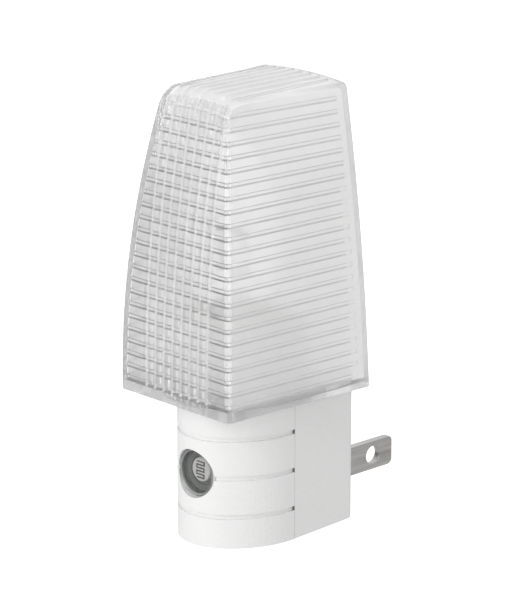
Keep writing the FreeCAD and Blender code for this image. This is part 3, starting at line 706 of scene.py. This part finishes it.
softened("front_shell", "front_casing", "housing_white", "housing", brokenEdges["casing"],
         cutter=windowCutter())
softened("rear_shell", "rear_casing", "housing_white", "housing", brokenEdges["casing"])
softened("blade_left", "left_blade", "nickel_blade", "blade", brokenEdges["blade"])
softened("blade_right", "right_blade", "nickel_blade", "blade", brokenEdges["blade"])
makeSeamLine()
print("housing and blades made")


def spunAboutSensor(profile, name, *finishNames, sharp=35, rise=0):
    # profile runs as (distance from the sensor's axis, place along it)
    bm = bmesh.new()
    verts = [bm.verts.new((out * mm, along * mm, 0)) for out, along in profile]
    edges = [bm.edges.new(pair) for pair in zip(verts, verts[1:])]
    bmesh.ops.spin(bm, geom=verts + edges, cent=(0, 0, 0), axis=(0, 1, 0),
                   angle=2 * math.pi, steps=72, use_merge=True)
    bmesh.ops.remove_doubles(bm, verts=bm.verts, dist=0.001 * mm)
    bmesh.ops.translate(bm, vec=sensorPlace(up=rise), verts=bm.verts)
    return meshFrom(bm, name, *finishNames, sharp=sharp)


def makeWindow():
    # a domed pane in a clear collar, whose bore gets painted shade and whose outside meets the white
    # hole
    tip, radius, lip, dome = sensor["tip"], sensor["radius"], sensor["lip"], sensor["paneDome"]
    inside = radius - sensor["rimWidth"]
    pane = tip + sensor["paneSunk"]
    face = pane + sensor["glass"]
    bore = inside - sensor["stepIn"]
    paneEdge, crown = inside - sensor["paneGap"], sensor["crown"]
    profile = [(0, pane - dome), (inside * 0.6, pane - dome * 0.57), (paneEdge, pane + crown),
               (paneEdge, face), (0, face)]
    mesh = spunAboutSensor(profile, "sensor_pane", "lens", sharp=50)
    finished("sensor_pane", mesh, "housing", "clear_lens")
    profile = [(inside, face), (inside, tip + lip), (inside + lip, tip), (radius - 2 * lip, tip - crown),
               (radius, tip + lip), (radius, sensor["back"]), (bore, sensor["back"]),
               (bore, sensor["collarStep"]), (inside, sensor["collarStep"]), (inside, face)]
    mesh = spunAboutSensor(profile, "sensor_window", "lensRim", "lensBorePaintedShade", "housing", sharp=50)
    axis = sensorPlace()
    for polygon in mesh.polygons:
        out = math.hypot(polygon.center.x - axis.x, polygon.center.z - axis.z) / mm
        # the bore's faces take the painted shade, the outside faces the housing's white
        if out < inside + sensor["paneGap"]:
            polygon.material_index = 1
        elif out > radius - sensor["paneGap"]:
            polygon.material_index = 2
    finished("sensor_window", mesh, "housing", "clear_lens", "sensor_lens")


def makeCell():
    # the photocell's pale disc in its dark well
    front, cup, disc = sensor["cellFront"], sensor["wellRadius"], sensor["cellRadius"]
    back, depth = front + sensor["cellThickness"], front + sensor["wellDepth"]
    profile = [(0, back + 0.05), (disc + 0.5, back + 0.05), (disc + 0.6, front + 0.45),
               (cup - 0.25, front + 0.3), (cup - 0.1, front + 0.02), (cup, front + 0.15),
               (cup, depth), (0, depth)]
    mesh = spunAboutSensor(profile, "sensor_well", "well")
    finished("sensor_well", mesh, "housing", "cell_ceramic")
    profile = [(0, front), (disc - 0.15, front + 0.02), (disc, front + 0.15), (disc, back), (0, back)]
    mesh = spunAboutSensor(profile, "photocell_face", "cell", rise=sensor["cellRise"])
    finished("photocell_face", mesh, "housing", "cell_ceramic", "photocell")


def makeTrack():
    # the dark track runs to and fro across the disc
    rows, pitch, reach = sensor["trackRows"], sensor["trackPitch"], sensor["trackHalf"]
    half = sensor["trackWidth"] / 2
    bars = []
    for row in range(rows):
        level = (row - (rows - 1) / 2) * pitch
        bars.append((0, level, reach, half))
        if row:
            side = reach if row % 2 else -reach
            bars.append((side, level - pitch / 2, half, pitch / 2 + half))
    bm = bmesh.new()
    for across, up, halfAcross, halfUp in bars:
        made = bmesh.ops.create_cube(bm, size=2)["verts"]
        bmesh.ops.scale(bm, vec=Vector((halfAcross, sensor["trackHeight"], halfUp)) * mm, verts=made)
        place = sensorPlace(across, sensor["cellFront"] - 0.03, sensor["cellRise"] + up)
        bmesh.ops.translate(bm, vec=place, verts=made)
    bmesh.ops.bevel(bm, geom=bm.edges[:], offset=sensor["trackHeight"] / 2 * mm, segments=1,
                    profile=0.5, material=-1, affect="EDGES")
    mesh = meshFrom(bm, "photocell_track", "track")
    finished("photocell_track", mesh, "housing", "cell_ceramic")


makeWindow()
makeCell()
makeTrack()
print("sensor made")

# The stage, in metres: a pale floor well below the lamp, soft lamps and a white surround
stage = {
    "floorLevel": -0.14,
    "floorHalf": 6.0,
    "floorColour": (0.8, 0.8, 0.8, 1),
    "floorShine": 0.65,
    "surround": 0.66,
    "lampAim": (0, -0.02, 0.03),
}
# place, size and power of each soft lamp
softLamps = {
    "keyLamp": ((-0.02, -0.95, 0.42), 0.6, 4.3),
    "fillLamp": ((0.8, -0.35, 0.3), 0.5, 0.9),
}


def makeFloor():
    bm = bmesh.new()
    bmesh.ops.create_grid(bm, x_segments=2, y_segments=2, size=stage["floorHalf"])
    bmesh.ops.translate(bm, vec=(0, 0, stage["floorLevel"]), verts=bm.verts)
    mesh = bpy.data.meshes.new("floor")
    bm.to_mesh(mesh)
    bm.free()
    floor = bpy.data.objects.new("floor", mesh)
    bpy.context.scene.collection.objects.link(floor)
    material, tree, shader = newMaterial("floorPale")
    shader.inputs["Base Color"].default_value = stage["floorColour"]
    shader.inputs["Roughness"].default_value = 0.9
    shader.inputs["Emission Color"].default_value = (1, 1, 1, 1)
    path = addNode(tree, "ShaderNodeLightPath")
    share = addNode(tree, "ShaderNodeMath", operation="MULTIPLY")
    share.inputs[1].default_value = stage["floorShine"]
    tree.links.new(path.outputs["Is Camera Ray"], share.inputs[0])
    tree.links.new(share.outputs[0], shader.inputs["Emission Strength"])
    mesh.materials.append(material)


def makeSurround():
    # white where it is seen, straight or through the clear pieces, and softer as a light
    world = bpy.data.worlds.new("surround")
    bpy.context.scene.world = world
    world.use_nodes = True
    tree = world.node_tree
    background = tree.nodes["Background"]
    background.inputs["Color"].default_value = (1, 1, 1, 1)
    path = addNode(tree, "ShaderNodeLightPath")
    first = addNode(tree, "ShaderNodeMath", operation="MAXIMUM")
    second = addNode(tree, "ShaderNodeMath", operation="MAXIMUM")
    strength = addNode(tree, "ShaderNodeMath", operation="MULTIPLY_ADD")
    strength.inputs[1].default_value = 1 - stage["surround"]
    strength.inputs[2].default_value = stage["surround"]
    tree.links.new(path.outputs["Is Camera Ray"], first.inputs[0])
    tree.links.new(path.outputs["Is Glossy Ray"], first.inputs[1])
    tree.links.new(first.outputs[0], second.inputs[0])
    tree.links.new(path.outputs["Is Transmission Ray"], second.inputs[1])
    tree.links.new(second.outputs[0], strength.inputs[0])
    tree.links.new(strength.outputs[0], background.inputs["Strength"])


def makeLamps():
    for name, (place, size, power) in softLamps.items():
        data = bpy.data.lights.new(name, "AREA")
        data.energy = power
        data.size = size
        lamp = bpy.data.objects.new(name, data)
        bpy.context.scene.collection.objects.link(lamp)
        lamp.location = place
        aim = Vector(stage["lampAim"]) - Vector(place)
        lamp.rotation_euler = aim.to_track_quat("-Z", "Y").to_euler()


# The camera, in degrees and millimetres: turned to the lamp's right and a little above it
view = {
    "azimuth": 46.825,
    "elevation": 16.324,
    "distance": 683.67,
    "lens": 193.33,
    "filmWidth": 36,
    "aimBehind": -15.85,
    "aimAcross": -0.225,
    "aimUp": 36.646,
}


def makeCamera():
    turn, lift = math.radians(view["azimuth"]), math.radians(view["elevation"])
    right = Vector((math.cos(turn), math.sin(turn), 0))
    back = Vector((math.sin(turn) * math.cos(lift), -math.cos(turn) * math.cos(lift),
                   math.sin(lift)))
    up = back.cross(right)
    target = Vector((0, view["aimBehind"], 0)) + right * view["aimAcross"] + up * view["aimUp"]
    data = bpy.data.cameras.new("camera")
    data.lens = view["lens"]
    data.sensor_width = view["filmWidth"]
    data.clip_start = 0.01
    camera = bpy.data.objects.new("camera", data)
    bpy.context.scene.collection.objects.link(camera)
    turned = Matrix((right, up, back)).transposed().to_4x4()
    camera.matrix_world = Matrix.Translation((target + back * view["distance"]) * mm) @ turned
    bpy.context.scene.camera = camera


makeFloor()
makeSurround()
makeLamps()
makeCamera()
bpy.context.scene.view_settings.view_transform = "Standard"
print("stage made")
